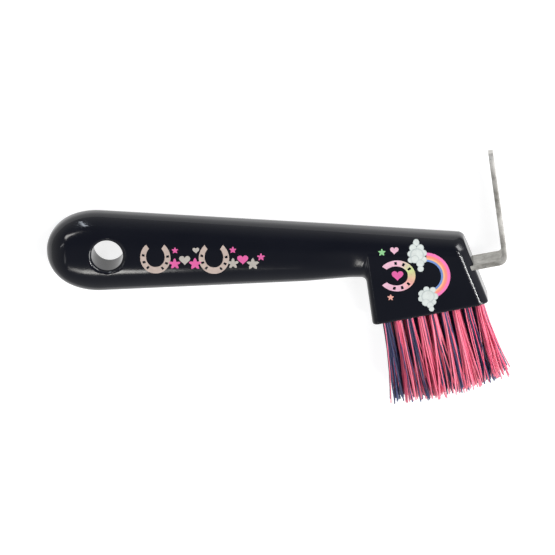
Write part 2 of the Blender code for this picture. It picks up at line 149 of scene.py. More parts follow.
def grip_distance(x, y, z):
    """A superellipse that swells and tapers along X and closes at the heel."""
    n = SECTION_POWER
    centre, half = grip_lines(x)
    half_thick = thickness / 2 * quarter(x, HEEL_ROUNDING) / quarter(x, HEEL_LENGTH)
    across = np.abs(y - centre) / half
    up = np.abs(z) / half_thick
    size = np.maximum((across**n + up**n) ** (1.0 / n), 1e-4)
    short = np.maximum(1.0 - x / HEEL_LENGTH, 0.0)
    value = size**2 - (1.0 - short**2)
    slope_y = 2.0 * size ** (2.0 - n) * across ** (n - 1.0) / half
    slope_z = 2.0 * size ** (2.0 - n) * up ** (n - 1.0) / half_thick
    slope_x = 2.0 * short / HEEL_LENGTH
    return value / np.maximum(np.sqrt(slope_x**2 + slope_y**2 + slope_z**2), 20.0)


# %% The whole body as a distance
EDGE_ROUNDING = 0.0024
END_EDGE = 0.0044  # of the end plane along the printed face, which is eased more than the other edges
END_ROUNDING = 0.0015  # of the end plane at the outline
END_EASING = (0.0030, 0.0062)  # heights above mid-thickness, from the outline's rounding to the face's
NECK_HOLLOW = 0.00070  # depth of the shallow dip in front of the head, where a finger rests
HOLLOW_RISE = (0.0960, 0.1160)  # along the grip, where the dip starts and is deepest
HOLLOW_FALL = (0.1150, 0.1225)  # where it is halved again
HOLLOW_SIDE = (-0.0034, 0.0046)  # below the centreline, from none to full depth
BASE_ROUNDING = 0.0010
NECK_FILLET = 0.0019
FILLET_SIDE = (-0.0005, 0.0075)  # below the centreline, from no fillet to the full one
BLOCK_TOP = 0.0024  # the block's hidden top, above the centreline
HOLE_RADIUS = 0.0060
HOLE_RIM = 0.0013


def flat_distance(points, corner, outward):
    return (points - np3(corner)) @ np3(outward)


def body_distance(points):
    """How far each point, in plan coordinates, is outside the moulding."""
    x, y, z = points.T
    face = np.abs(z) - thickness / 2
    end = flat_distance(points, front_corner, end_out)
    rear = flat_distance(points, rear_corner, rear_out)
    base = flat_distance(points, rear_corner, base_out)
    dip = ramp(x, *HOLLOW_RISE) * (1.0 - 0.50 * ramp(x, *HOLLOW_FALL))
    hollow = NECK_HOLLOW * dip * ramp(-y, *HOLLOW_SIDE)
    end_rounding = END_ROUNDING + (END_EDGE - END_ROUNDING) * ramp(np.abs(z), *END_EASING)
    grip = round_max(grip_distance(x, y, z) + hollow, end, end_rounding)
    block = round_max(np.maximum(rear, y - BLOCK_TOP), face, EDGE_ROUNDING)
    block = round_max(round_max(block, end, end_rounding), base, BASE_ROUNDING)
    fillet = NECK_FILLET * ramp(rear, -EDGE_ROUNDING, 0.0) * ramp(-y, *FILLET_SIDE)
    body = round_min(grip, block, fillet)
    from_axis = np.hypot(x - (hole_centre.x - heel.x), y)
    return round_max(body, HOLE_RADIUS - from_axis, HOLE_RIM)


def slope_of(field, points, reach=2e-6):
    """Gradient of a distance by small steps along each axis."""
    slopes = []
    for k in range(3):
        offset = np.zeros(3)
        offset[k] = reach
        slopes.append((field(points + offset) - field(points - offset)) / (2 * reach))
    return np.stack(slopes, axis=1)


# %% [markdown]
# A grid of small cells is laid through the body. Every cell that the skin passes through gets one point,
# and every grid edge that the skin crosses gets one four-sided face between the four cells around it. The
# points are then slid along the slope of the distance until they lie exactly on the skin, which makes the
# gloss reflections run clean.

# %% Pull a net over a distance
def cell_points(values, axes, spacing):
    """One point for each crossed cell: the mean of the places where the skin crosses its edges."""
    shape = tuple(n - 1 for n in values.shape)
    total = np.zeros((*shape, 3))
    count = np.zeros(shape)
    grid = np.stack(np.meshgrid(*axes, indexing="ij"), axis=-1)
    for k in range(3):
        here = tuple(slice(None, -1) if axis == k else slice(None) for axis in range(3))
        there = tuple(slice(1, None) if axis == k else slice(None) for axis in range(3))
        a, b = values[here], values[there]
        crossed = (a < 0) != (b < 0)
        share = np.where(crossed, a / np.where(crossed, a - b, 1.0), 0.0)
        place = grid[here].copy()
        place[..., k] += share * spacing
        place[~crossed] = 0.0
        others = [axis for axis in range(3) if axis != k]
        for first in (0, 1):
            for second in (0, 1):
                part = [slice(None)] * 3
                part[others[0]] = slice(first, first + shape[others[0]])
                part[others[1]] = slice(second, second + shape[others[1]])
                total += place[tuple(part)]
                count += crossed[tuple(part)]
    return total, count


def edge_faces(values, index):
    """One face for each crossed grid edge, turned so that it looks outwards."""
    inside = values < 0
    faces = []
    for k in range(3):
        u, v = (k + 1) % 3, (k + 2) % 3
        here = [slice(1, -1)] * 3
        there = [slice(1, -1)] * 3
        here[k] = slice(0, -1)
        there[k] = slice(1, None)
        rises = inside[tuple(here)] & ~inside[tuple(there)]
        falls = ~inside[tuple(here)] & inside[tuple(there)]
        for crossed, order in ((rises, 1), (falls, -1)):
            at = np.argwhere(crossed) + np.array([0 if axis == k else 1 for axis in range(3)])
            around = []
            for du, dv in ((-1, -1), (0, -1), (0, 0), (-1, 0)):
                cell = at.copy()
                cell[:, u] += du
                cell[:, v] += dv
                around.append(index[tuple(cell.T)])
            faces.append(np.stack(around, axis=1)[:, ::order])
    return np.concatenate(faces)


def net_over(field, low, high, spacing, passes=4):
    axes = [np.arange(low[k], high[k] + spacing, spacing) for k in range(3)]
    grid = np.stack(np.meshgrid(*axes, indexing="ij"), axis=-1)
    values = field(grid.reshape(-1, 3)).reshape(grid.shape[:3])
    total, count = cell_points(values, axes, spacing)
    used = count > 0
    index = np.full(count.shape, -1, dtype=int)
    index[used] = np.arange(used.sum())
    points = total[used] / count[used][:, None]
    for _ in range(passes):
        slope = slope_of(field, points)
        shift = (field(points) / np.maximum((slope**2).sum(1), 0.05))[:, None] * slope
        length = np.linalg.norm(shift, axis=1, keepdims=True)
        points -= shift * np.minimum(1.0, spacing / np.maximum(length, 1e-12))
    miss = float(np.abs(field(points)).max())
    print("net:", len(points), "points, worst miss", round(miss * 1000, 5), "mm")
    return points, edge_faces(values, index)


# %% Put things into the scene
def new_object(name, data):
    obj = bpy.data.objects.new(name, data)
    bpy.context.scene.collection.objects.link(obj)
    return obj


def object_from(name, bm):
    """An object whose mesh is this bmesh, which is freed."""
    mesh = bpy.data.meshes.new(name)
    bm.to_mesh(mesh)
    bm.free()
    return new_object(name, mesh)


def add_mesh(name, points, faces):
    """A mesh object at the origin, from plan coordinates."""
    mesh = bpy.data.meshes.new(name)
    corners = [tuple(map(int, face)) for face in faces]
    mesh.from_pydata((np.asarray(points) + np3(heel)).tolist(), [], corners)
    mesh.validate()
    return new_object(name, mesh)


def bake_modifiers(obj):
    """The shape after the modifiers becomes the object's own mesh."""
    bpy.context.view_layer.update()
    evaluated = obj.evaluated_get(bpy.context.evaluated_depsgraph_get())
    mesh = bpy.data.meshes.new_from_object(evaluated)
    obj.modifiers.clear()
    obj.data = mesh
    return obj


# %% Skin the body
NET_SPACING = 0.00042

margin = 2.5 * NET_SPACING
half_layers = math.ceil((thickness / 2 + margin) / NET_SPACING)
net_low = np.array([-margin, (handle_low - heel).y - margin, -(half_layers - 0.5) * NET_SPACING])
net_high = np.array([(handle_high - heel).x + margin, (handle_high - heel).y + margin, -net_low[2]])
body_points, body_faces = net_over(body_distance, net_low, net_high, NET_SPACING)
body = add_mesh("moulded_body", body_points, body_faces)
print("body faces:", len(body.data.polygons))

# %% [markdown]
# ## The hook
# The hook is one strip of steel, cut with a rounded tip and bent once. The strip is drawn as a flat sheet
# of faces that follows the bend, which leaves a natural place for the grain of the brushed finish: its map
# runs along the strip. Solidify gives the gauge and Bevel breaks the edges.

# %% The strip's path
HOOK_WIDTH = 0.0120
HOOK_GAUGE = 0.0018
HOOK_TIP_WIDTH = 0.0084
HOOK_EDGE = 0.00038
SHANK_TILT = math.radians(11.0)
SHANK_UP = 0.0154
SHANK_LENGTH = 0.0119
BEND_RADIUS = 0.0026
BLADE_LEAN = math.radians(7.9)
BLADE_LENGTH = 0.0430
TANG_LENGTH = 0.0200

bend_turn = math.pi / 2 + BLADE_LEAN - SHANK_TILT
bend_back = BEND_RADIUS * math.tan(bend_turn / 2)
bend_from = TANG_LENGTH + SHANK_LENGTH - bend_back
bend_to = bend_from + BEND_RADIUS * bend_turn
strip_end = bend_to + BLADE_LENGTH - bend_back
shank_root = front_corner + step(math.pi / 2 + END_TILT, SHANK_UP)


def strip_point(s):
    """The strip's middle, at distance s from the hidden end of its tang."""
    start = shank_root - step(SHANK_TILT, TANG_LENGTH)
    if s <= bend_from:
        return start + step(SHANK_TILT, s)
    centre = start + step(SHANK_TILT, bend_from) + step(SHANK_TILT + math.pi / 2, BEND_RADIUS)
    turned = min((s - bend_from) / BEND_RADIUS, bend_turn)
    point = centre + step(SHANK_TILT - math.pi / 2 + turned, BEND_RADIUS)
    return point + step(SHANK_TILT + bend_turn, max(0.0, s - bend_to))


# %% The strip's sheet
STRIP_COLUMNS = 8


def strip_rows():
    """(distance, half-width) down the strip, closer together in the bend and round the tip."""
    full = HOOK_WIDTH / 2
    tip = HOOK_TIP_WIDTH / 2
    rows = [(s, full) for s in np.linspace(0.0, bend_from, 14)[:-1]]
    rows += [(s, full) for s in np.linspace(bend_from, bend_to, 19)[:-1]]
    for share in np.linspace(0.0, 1.0, 22)[:-1]:
        rows.append((bend_to + (strip_end - tip - bend_to) * share, full + (tip - full) * share))
    for angle in np.linspace(0.0, math.pi / 2, 15)[:-1]:
        rows.append((strip_end - tip * (1 - math.sin(angle)), tip * math.cos(angle)))
    return rows


def strip_sheet():
    bm = bmesh.new()
    grain = bm.loops.layers.uv.new("along_strip")
    place = {}
    rows = []
    for s, half in strip_rows():
        row = []
        for column in range(STRIP_COLUMNS + 1):
            z = half * (2 * column / STRIP_COLUMNS - 1)
            vert = bm.verts.new(heel + strip_point(s) + Vector((0, 0, z)))
            place[vert] = (s, z)
            row.append(vert)
        rows.append(row)
    tip = bm.verts.new(heel + strip_point(strip_end))
    place[tip] = (strip_end, 0.0)
    for row, following in zip(rows, rows[1:]):
        for i in range(STRIP_COLUMNS):
            bm.faces.new((row[i], following[i], following[i + 1], row[i + 1]))
    for first, second in zip(rows[-1], rows[-1][1:]):
        bm.faces.new((first, tip, second))
    for face in bm.faces:
        for loop in face.loops:
            loop[grain].uv = place[loop.vert]
    return bm


# %% Make the hook
def make_hook(bm):
    """Turns the open sheet into a strip of the right gauge with broken edges."""
    obj = object_from("hook_strip", bm)
    solid = obj.modifiers.new("gauge", "SOLIDIFY")
    solid.thickness = HOOK_GAUGE
    solid.offset = 0.0
    solid.use_even_offset = True
    bevel = obj.modifiers.new("broken_edges", "BEVEL")
    bevel.width = HOOK_EDGE
    bevel.segments = 3
    bevel.limit_method = "ANGLE"
    bevel.angle_limit = math.radians(50)
    return bake_modifiers(obj)


hook = make_hook(strip_sheet())
hook.data.shade_smooth()
hook_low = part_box("hook")[0]
made_low = [min(v.co[k] for v in hook.data.vertices) for k in range(3)]
print("hook misses its frame box by", [round((made_low[k] - hook_low[k]) * 1000, 3) for k in range(3)], "mm")

# %% [markdown]
# ## Holes in the moulding
# The base has a blind hole for every tuft, and the end face a slot that the steel fills. Both are cut with
# a Boolean after the skin is made, because their edges are crisp and the rest of the body is soft.

# %% Tuft places
TUFT_COLUMNS = 9
TUFT_ROWS = ("front", "middle", "back")
TUFT_EDGE_REAR = 0.0051
TUFT_EDGE_FRONT = 0.0039
ROW_PITCH = 0.0039
TUFT_HOLE_RADIUS = 0.0015
TUFT_HOLE_DEPTH = 0.0090
FREE_LENGTHS = (0.0326, 0.0340, 0.0306)  # at the rear, in the middle and at the front
FAN = (math.radians(-1.0), math.radians(3.8))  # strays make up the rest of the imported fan


def tufts_in_row():
    """(column, row) of every tuft. The middle row has one less and stands in the gaps of the others."""
    return [(column, row) for row in range(len(TUFT_ROWS)) for column in range(TUFT_COLUMNS - row % 2)]


def base_share(column, row):
    """Where a tuft stands between the outer rows' first and last ones, 0 to 1."""
    return (column + row % 2 / 2) / (TUFT_COLUMNS - 1)


def tuft_root(column, row):
    """Middle of the hole's mouth, on the base."""
    side = (len(TUFT_ROWS) - 1) / 2 - row
    from_corner = TUFT_EDGE_REAR + (BASE_LENGTH - TUFT_EDGE_REAR - TUFT_EDGE_FRONT) * base_share(column, row)
    return rear_corner + step(BASE_TILT, from_corner) + Vector((0, 0, side * ROW_PITCH))


def free_length(column, row):
    """Bristle length beyond the base: a parabola through three lengths."""
    t = base_share(column, row)
    rear, middle, front = FREE_LENGTHS
    return rear * (1 - t) * (1 - 2 * t) + middle * 4 * t * (1 - t) + front * t * (2 * t - 1)


# %% Cut the holes and the slot
SLOT_SLACK = 0.00006


def holes_and_slot():
    bm = bmesh.new()
    turn = base_out.to_track_quat("Z", "Y").to_matrix().to_4x4()
    reach = TUFT_HOLE_DEPTH + TUFT_HOLE_RADIUS
    for column, row in tufts_in_row():
        middle = heel + tuft_root(column, row) + base_out * (reach / 2 - TUFT_HOLE_DEPTH)
        bmesh.ops.create_cone(
            bm, cap_ends=True, segments=24, radius1=TUFT_HOLE_RADIUS, radius2=TUFT_HOLE_RADIUS,
            depth=reach, matrix=Matrix.Translation(middle) @ turn,
        )
    size = (TANG_LENGTH + HOOK_WIDTH, HOOK_GAUGE + 2 * SLOT_SLACK, HOOK_WIDTH + 2 * SLOT_SLACK, 1.0)
    middle = heel + shank_root + step(SHANK_TILT, (HOOK_WIDTH - TANG_LENGTH) / 2 - SLOT_SLACK)
    place = Matrix.Translation(middle) @ Matrix.Rotation(SHANK_TILT, 4, "Z") @ Matrix.Diagonal(size)
    bmesh.ops.create_cube(bm, size=1.0, matrix=place)
    return bm


cutter = object_from("cutter", holes_and_slot())
cut = body.modifiers.new("holes", "BOOLEAN")
cut.operation = "DIFFERENCE"
cut.solver = "EXACT"
cut.object = cutter
bake_modifiers(body)
bpy.data.objects.remove(cutter)
body.data.shade_smooth()
body.data.set_sharp_from_angle(angle=math.radians(55))
print("body after cutting:", sum(len(p.vertices) - 2 for p in body.data.polygons), "triangles")

# %% [markdown]
# ## The bristles
# Each hole holds three dozen polypropylene filaments, folded over a staple and cut in one go. They could be
# a hair system, but an exported part needs plain meshes. Geometry Nodes copy a root point for every
# filament, set one thin rod on each, and then bend all the rods at once, so the whole brush follows a few
# named sizes. The tree runs twice, once for each colour, and keeps only the filaments of the colour that it
# is asked for.

# %% Root points, one for each tuft
STRAIGHT_OUT = 0.0030  # a tuft leaves its hole straight, then fans
FAN_SIDE = 0.0006
PINK_SHARE = {
    "front": (0.28, 0.80, 0.58, 0.96, 0.55, 0.50, 0.93, 0.45, 0.78),
    "middle": (0.25, 0.40, 0.30, 0.45, 0.35, 0.30, 0.50, 0.30),
    "back": (0.15, 0.50, 0.45, 0.60, 0.40, 0.45, 0.55, 0.35, 0.50),
}


def root_points():
    """A mesh of loose points with each tuft's direction, length and share of pink."""
    places, outs, lengths, shares = [], [], [], []
    for column, row in tufts_in_row():
        side = (len(TUFT_ROWS) - 1) / 2 - row
        lean = FAN[0] + (FAN[1] - FAN[0]) * base_share(column, row)
        length = free_length(column, row)
        out = step(BASE_TILT - math.pi / 2 + lean) + Vector((0, 0, FAN_SIDE * side / length))
        places.append(heel + tuft_root(column, row))
        outs.append(out.normalized())
        lengths.append(length)
        shares.append(PINK_SHARE[TUFT_ROWS[row]][column])
    mesh = bpy.data.meshes.new("tuft_roots")
    mesh.from_pydata(places, [], [])
    mesh.attributes.new("out", "FLOAT_VECTOR", "POINT").data.foreach_set("vector", np.array(outs).ravel())
    mesh.attributes.new("free_length", "FLOAT", "POINT").data.foreach_set("value", lengths)
    mesh.attributes.new("pink_share", "FLOAT", "POINT").data.foreach_set("value", shares)
    return mesh


# %% Small helpers for node trees
def link_in(tree, socket, value):
    """Feeds a socket from another socket, or sets it to a plain value."""
    if isinstance(value, bpy.types.NodeSocket):
        tree.links.new(value, socket)
    else:
        socket.default_value = value


def node(tree, kind, *values, **settings):
    """Adds a node, sets its options and its inputs in order, and gives back its first output."""
    made = tree.nodes.new(kind)
    for name, setting in settings.items():
        setattr(made, name, setting)
    sockets = [socket for socket in made.inputs if socket.enabled]
    for socket, value in zip(sockets, values):
        link_in(tree, socket, value)
    return next(socket for socket in made.outputs if socket.enabled)


def math_node(tree, operation, *values):
    return node(tree, "ShaderNodeMath", *values, operation=operation)


def vector_math(tree, operation, *values):
    """Vector maths, where a scale's factor is its last value."""
    made = tree.nodes.new("ShaderNodeVectorMath")
    made.operation = operation
    if operation == "SCALE":
        link_in(tree, made.inputs[0], values[0])
        link_in(tree, made.inputs["Scale"], values[1])
    else:
        for socket, value in zip(made.inputs, values):
            link_in(tree, socket, value)
    return made.outputs["Vector"]


def read_attribute(tree, name, kind):
    return node(tree, "GeometryNodeInputNamedAttribute", name, data_type=kind)


def store(tree, geometry, name, value, kind="FLOAT"):
    made = tree.nodes.new("GeometryNodeStoreNamedAttribute")
    made.data_type = kind
    made.domain = "POINT"
    link_in(tree, made.inputs["Geometry"], geometry)
    link_in(tree, made.inputs["Name"], name)
    link_in(tree, made.inputs["Value"], value)
    return made.outputs[0]


def random_number(tree, low, high, identity, seed):
    made = tree.nodes.new("FunctionNodeRandomValue")
    made.data_type = "FLOAT"
    made.inputs[2].default_value = low
    made.inputs[3].default_value = high
    link_in(tree, made.inputs["ID"], identity)
    link_in(tree, made.inputs["Seed"], seed)
    return made.outputs[1]


# %% The bristle tree's named sizes
GOLDEN_TURN = 2.39996  # radians between neighbours packs a round hole evenly
BRISTLE_SIZES = {
    "Filaments": ("NodeSocketInt", 36),
    "Bundle radius": ("NodeSocketFloat", TUFT_HOLE_RADIUS - 0.00027),
    "Filament radius": ("NodeSocketFloat", 0.00026),
    "Root depth": ("NodeSocketFloat", 0.0060),
    "Straight out": ("NodeSocketFloat", STRAIGHT_OUT),
    "Spread at tip": ("NodeSocketFloat", 0.0017),
    "Stray at tip": ("NodeSocketFloat", 0.0042),
    "Uneven ends": ("NodeSocketFloat", 0.0026),
    "Crimp": ("NodeSocketFloat", 0.00011),
    "Seed": ("NodeSocketInt", 7),
}


ROD_SIDES = 5
ROD_SEGMENTS = 7
FLOOR_GAP = 1.5  # a filament's middle stays this many radii above the floor


def bristle_tree():
    """Copies a root for each filament, sets a rod on each, and bends the rods."""
    tree = bpy.data.node_groups.new("bristles", "GeometryNodeTree")
    face = tree.interface
    face.new_socket("Geometry", in_out="OUTPUT", socket_type="NodeSocketGeometry")
    face.new_socket("Geometry", in_out="INPUT", socket_type="NodeSocketGeometry")
    for name, (kind, value) in BRISTLE_SIZES.items():
        face.new_socket(name, in_out="INPUT", socket_type=kind).default_value = value
    face.new_socket("Pink", in_out="INPUT", socket_type="NodeSocketBool")
    face.new_socket("Finish", in_out="INPUT", socket_type="NodeSocketMaterial")
    size = tree.nodes.new("NodeGroupInput").outputs

    # one root for each filament, spread round the tuft's middle like seeds in a sunflower
    copies = tree.nodes.new("GeometryNodeDuplicateElements")
    copies.domain = "POINT"
    link_in(tree, copies.inputs["Geometry"], size["Geometry"])
    link_in(tree, copies.inputs["Amount"], size["Filaments"])
    number = copies.outputs["Duplicate Index"]
    identity = node(tree, "GeometryNodeInputIndex")

    def chance(low, high, offset):
        seed = math_node(tree, "ADD", size["Seed"], float(offset))
        return random_number(tree, low, high, identity, seed)

    turn = math_node(tree, "ADD", math_node(tree, "MULTIPLY", number, GOLDEN_TURN), chance(-0.35, 0.35, 1))
    filled = math_node(tree, "DIVIDE", math_node(tree, "ADD", number, 0.5), size["Filaments"])
    away = math_node(tree, "SQRT", filled)
    along_base = math_node(tree, "MULTIPLY", math_node(tree, "COSINE", turn), away)
    across_base = math_node(tree, "MULTIPLY", math_node(tree, "SINE", turn), away)
    seat = node(tree, "ShaderNodeCombineXYZ", along_base, across_base, 0.0)

    # strays lean on their own; the power leaves most filaments nearly straight
    reach = math_node(tree, "POWER", chance(0.0, 1.0, 2), 1.3)
    heading = chance(0.0, 2 * math.pi, 3)
    stray_along = math_node(tree, "MULTIPLY", math_node(tree, "COSINE", heading), reach)
    stray_across = math_node(tree, "MULTIPLY", math_node(tree, "SINE", heading), reach)
    stray = node(tree, "ShaderNodeCombineXYZ", stray_along, stray_across, 0.0)
    few = math_node(tree, "POWER", chance(0.0, 1.0, 4), 2.0)
    cut_short = math_node(tree, "MULTIPLY", few, size["Uneven ends"])

    points = copies.outputs["Geometry"]
    points = store(tree, points, "root", node(tree, "GeometryNodeInputPosition"), "FLOAT_VECTOR")
    points = store(tree, points, "seat", seat, "FLOAT_VECTOR")
    points = store(tree, points, "stray", stray, "FLOAT_VECTOR")
    points = store(tree, points, "cut_short", cut_short)
    points = store(tree, points, "shade", chance(0.0, 1.0, 5))
    points = store(tree, points, "phase", chance(0.0, 6.28, 6))  # one whole turn
    points = store(tree, points, "is_pink", node(
        tree, "FunctionNodeCompare", read_attribute(tree, "pink_share", "FLOAT"), chance(0.0, 1.0, 8),
        data_type="FLOAT", operation="GREATER_THAN",
    ), "BOOLEAN")
    other = node(
        tree, "FunctionNodeBooleanMath", read_attribute(tree, "is_pink", "BOOLEAN"), size["Pink"],
        operation="XOR",
    )
    points = node(tree, "GeometryNodeDeleteGeometry", points, other, domain="POINT")

    # a thin five-sided rod, one unit long
    rod = tree.nodes.new("GeometryNodeMeshCylinder")
    rod.fill_type = "NGON"
    rod_sizes = {"Vertices": ROD_SIDES, "Side Segments": ROD_SEGMENTS, "Radius": 1.0, "Depth": 1.0}
    for name, value in rod_sizes.items():
        rod.inputs[name].default_value = value
    lifted = node(tree, "GeometryNodeTransform", rod.outputs["Mesh"])
    lifted.node.inputs["Translation"].default_value = (0.0, 0.0, 0.5)
    placed = node(tree, "GeometryNodeInstanceOnPoints", points)
    link_in(tree, placed.node.inputs["Instance"], lifted)
    rods = node(tree, "GeometryNodeRealizeInstances", placed)

    # bend every rod: its own X, Y and Z are turned into across, across and along the filament
    root = read_attribute(tree, "root", "FLOAT_VECTOR")
    local = vector_math(tree, "SUBTRACT", node(tree, "GeometryNodeInputPosition"), root)
    parts = tree.nodes.new("ShaderNodeSeparateXYZ")
    link_in(tree, parts.inputs[0], local)
    share = parts.outputs[2]
    out = read_attribute(tree, "out", "FLOAT_VECTOR")
    uncut = read_attribute(tree, "free_length", "FLOAT")
    length = math_node(tree, "SUBTRACT", uncut, read_attribute(tree, "cut_short", "FLOAT"))
    whole = math_node(tree, "ADD", length, size["Root depth"])
    distance = math_node(tree, "SUBTRACT", math_node(tree, "MULTIPLY", share, whole), size["Root depth"])
    fanned = math_node(tree, "MAXIMUM", math_node(tree, "SUBTRACT", distance, size["Straight out"]), 0.0)
    upright = math_node(tree, "SUBTRACT", distance, fanned)
    open_share = math_node(tree, "DIVIDE", math_node(tree, "MAXIMUM", distance, 0.0), length)
    bent = math_node(tree, "POWER", open_share, 1.7)

    def in_base(vector):
        """Turns a vector's X and Y into steps along and across the base."""
        split = tree.nodes.new("ShaderNodeSeparateXYZ")
        link_in(tree, split.inputs[0], vector)
        first = vector_math(tree, "SCALE", tuple(step(BASE_TILT)), split.outputs[0])
        second = vector_math(tree, "SCALE", (0.0, 0.0, 1.0), split.outputs[1])
        return vector_math(tree, "ADD", first, second)

    opened = math_node(tree, "MULTIPLY", open_share, size["Spread at tip"])
    bundle = math_node(tree, "ADD", size["Bundle radius"], opened)
    astray = math_node(tree, "MULTIPLY", bent, size["Stray at tip"])
    angle = math_node(tree, "MULTIPLY", open_share, 9.0)  # about one and a half waves
    angle = math_node(tree, "ADD", angle, read_attribute(tree, "phase", "FLOAT"))
    wave = math_node(tree, "MULTIPLY", math_node(tree, "SINE", angle), size["Crimp"])
    wave = math_node(tree, "MULTIPLY", wave, open_share)
    place = root
    for vector, factor in (
        (tuple(base_out), upright),
        (out, fanned),
        (in_base(read_attribute(tree, "seat", "FLOAT_VECTOR")), bundle),
        (in_base(read_attribute(tree, "stray", "FLOAT_VECTOR")), astray),
        (in_base((1.0, 0.6, 0.0)), wave),
    ):
        place = vector_math(tree, "ADD", place, vector_math(tree, "SCALE", vector, factor))

    # a pick that lies down presses its lowest filaments flat on the floor
    middle = tree.nodes.new("ShaderNodeSeparateXYZ")
    link_in(tree, middle.inputs[0], place)
    clear = math_node(tree, "MULTIPLY", size["Filament radius"], FLOOR_GAP)
    held = math_node(tree, "MAXIMUM", middle.outputs[2], clear)
    place = node(tree, "ShaderNodeCombineXYZ", middle.outputs[0], middle.outputs[1], held)
    radial = node(tree, "ShaderNodeCombineXYZ", parts.outputs[0], parts.outputs[1], 0.0)
    skin = vector_math(tree, "SCALE", in_base(radial), size["Filament radius"])
    place = vector_math(tree, "ADD", place, skin)
    rods = store(tree, rods, "along", open_share)
    moved = tree.nodes.new("GeometryNodeSetPosition")
    link_in(tree, moved.inputs["Geometry"], rods)
    link_in(tree, moved.inputs["Position"], place)
    smooth = node(tree, "GeometryNodeSetShadeSmooth", moved.outputs[0])
    finished = tree.nodes.new("GeometryNodeSetMaterial")
    link_in(tree, finished.inputs["Geometry"], smooth)
    link_in(tree, finished.inputs["Material"], size["Finish"])
    link_in(tree, tree.nodes.new("NodeGroupOutput").inputs[0], finished.outputs[0])
    return tree


# %% Grow one colour
WORKING_ATTRIBUTES = (
    "root", "seat", "stray", "cut_short", "phase", "is_pink", "out", "free_length", "pink_share",
)


def grow(name, tree, pink, finish):
    """Runs the tree on the roots and keeps the result as a plain mesh."""
    obj = new_object(name, root_points())
    nodes = obj.modifiers.new("grow", "NODES")
    nodes.node_group = tree
    sockets = {item.name: item.identifier for item in tree.interface.items_tree if item.in_out == "INPUT"}
    nodes[sockets["Pink"]] = pink
    nodes[sockets["Finish"]] = finish
    bake_modifiers(obj)
    for spare in WORKING_ATTRIBUTES:
        if spare in obj.data.attributes:
            obj.data.attributes.remove(obj.data.attributes[spare])
    if obj.data.materials[0] is None:
        obj.data.materials.pop(index=0)  # the bare rod's empty slot
    print(name, len(obj.data.polygons), "faces,", [round(v, 4) for v in obj.dimensions])
    return obj

# %% [markdown]
# ## The prints
# The moulding carries small pad prints. Each motif is a thin film of ink: a flat shape laid on the skin,
# pushed to its height and given a wall, so it follows the rounded face. The motifs are plain ones:
# horseshoes, stars, hearts, flowers, a rainbow and clouds. The colour sits in an attribute of the mesh, so
# one ink finish serves all.

# %% Ink colours
def ink(red, green, blue):
    """A screen colour, 0 to 255, as linear light."""
    parts = []
    for part in (red, green, blue):
        part = part / 255
        parts.append(part / 12.92 if part <= 0.04045 else ((part + 0.055) / 1.055) ** 2.4)
    return (*parts, 1.0)


CREAM = ink(186, 168, 158)
GREY_CREAM = ink(176, 170, 162)
PINK = ink(214, 92, 154)
PALE_PINK = ink(222, 176, 194)
PEACH = ink(224, 162, 148)
PALE_LIME = ink(192, 208, 140)
MINT = ink(136, 196, 136)
WHITE = ink(208, 214, 210)
CLOUD_RIM = ink(172, 182, 180)
RAINBOW = (ink(238, 118, 176), ink(246, 138, 122), ink(240, 180, 130), ink(108, 138, 196))


# %% Flat motifs
def face_height(places):
    """Height of the skin above each place, in plan coordinates, by halving."""
    low = np.zeros(len(places))
    high = np.full(len(places), thickness / 2 + 0.0005)
    for _ in range(22):
        middle = (low + high) / 2
        outside = body_distance(np.column_stack([places, middle])) > 0
        high = np.where(outside, middle, high)
        low = np.where(outside, low, middle)
    return low


def turned(points, centre, turn):
    c, s = math.cos(turn), math.sin(turn)
    return [(centre[0] + c * x - s * y, centre[1] + s * x + c * y) for x, y in points]


class Film:
    """Gathers flat motifs with a colour at each point."""

    def __init__(self):
        self.points, self.faces, self.colours, self.lifts = [], [], [], []

    def grid(self, rows, colours, closed=False, lift=0.0):
        """Joins rows of points into a sheet. Each row has its own colour."""
        start, width = len(self.points), len(rows[0])
        for row, colour in zip(rows, colours):
            self.points += row
            self.colours += [colour] * width
            self.lifts += [lift] * width
        for r in range(len(rows) - 1):
            for i in range(width if closed else width - 1):
                a = start + r * width + i
                b = start + r * width + (i + 1) % width
                self.faces.append((a, b, b + width, a + width))

    def shape(self, outline, centre, colour, rings=3, rim=None, lift=0.0):
        """A shape that can be seen whole from its centre: rings of its outline round a middle point."""
        start = len(self.points)
        self.points.append(centre)
        self.colours.append(colour)
        self.lifts.append(lift)
        rows = []
        for ring in range(1, rings + 1):
            share = ring / rings
            rows.append([
                (centre[0] + (x - centre[0]) * share, centre[1] + (y - centre[1]) * share) for x, y in outline
            ])
        first = len(self.points)
        self.grid(rows, [colour] * (rings - 1) + [rim or colour], closed=True, lift=lift)
        for i in range(len(outline)):
            self.faces.append((start, first + (i + 1) % len(outline), first + i))


def polar(radius_at, centre, turn=0.0, sides=60):
    ring = [2 * math.pi * i / sides for i in range(sides)]
    return turned([(radius_at(a) * math.cos(a), radius_at(a) * math.sin(a)) for a in ring], centre, turn)


def star(centre, radius, turn=math.pi / 2):
    def edge(a):
        t = abs((a / (2 * math.pi / 5)) % 1.0 - 0.5) * 2  # 1 at a point, 0 in a notch
        return radius * (0.46 + 0.54 * t**1.15)
    return polar(edge, centre, turn)


def flower(centre, radius):
    return polar(lambda a: radius * (0.74 + 0.26 * math.cos(5 * a)), centre, math.pi / 2)


def heart(centre, radius, turn=0.0):
    points = []
    for i in range(60):
        a = 2 * math.pi * i / 60
        x = 16 * math.sin(a) ** 3
        y = 13 * math.cos(a) - 5 * math.cos(2 * a) - 2 * math.cos(3 * a) - math.cos(4 * a)
        points.append((x * radius / 16, (y + 2) * radius / 16))
    return turned(points[::-1], centre, turn)


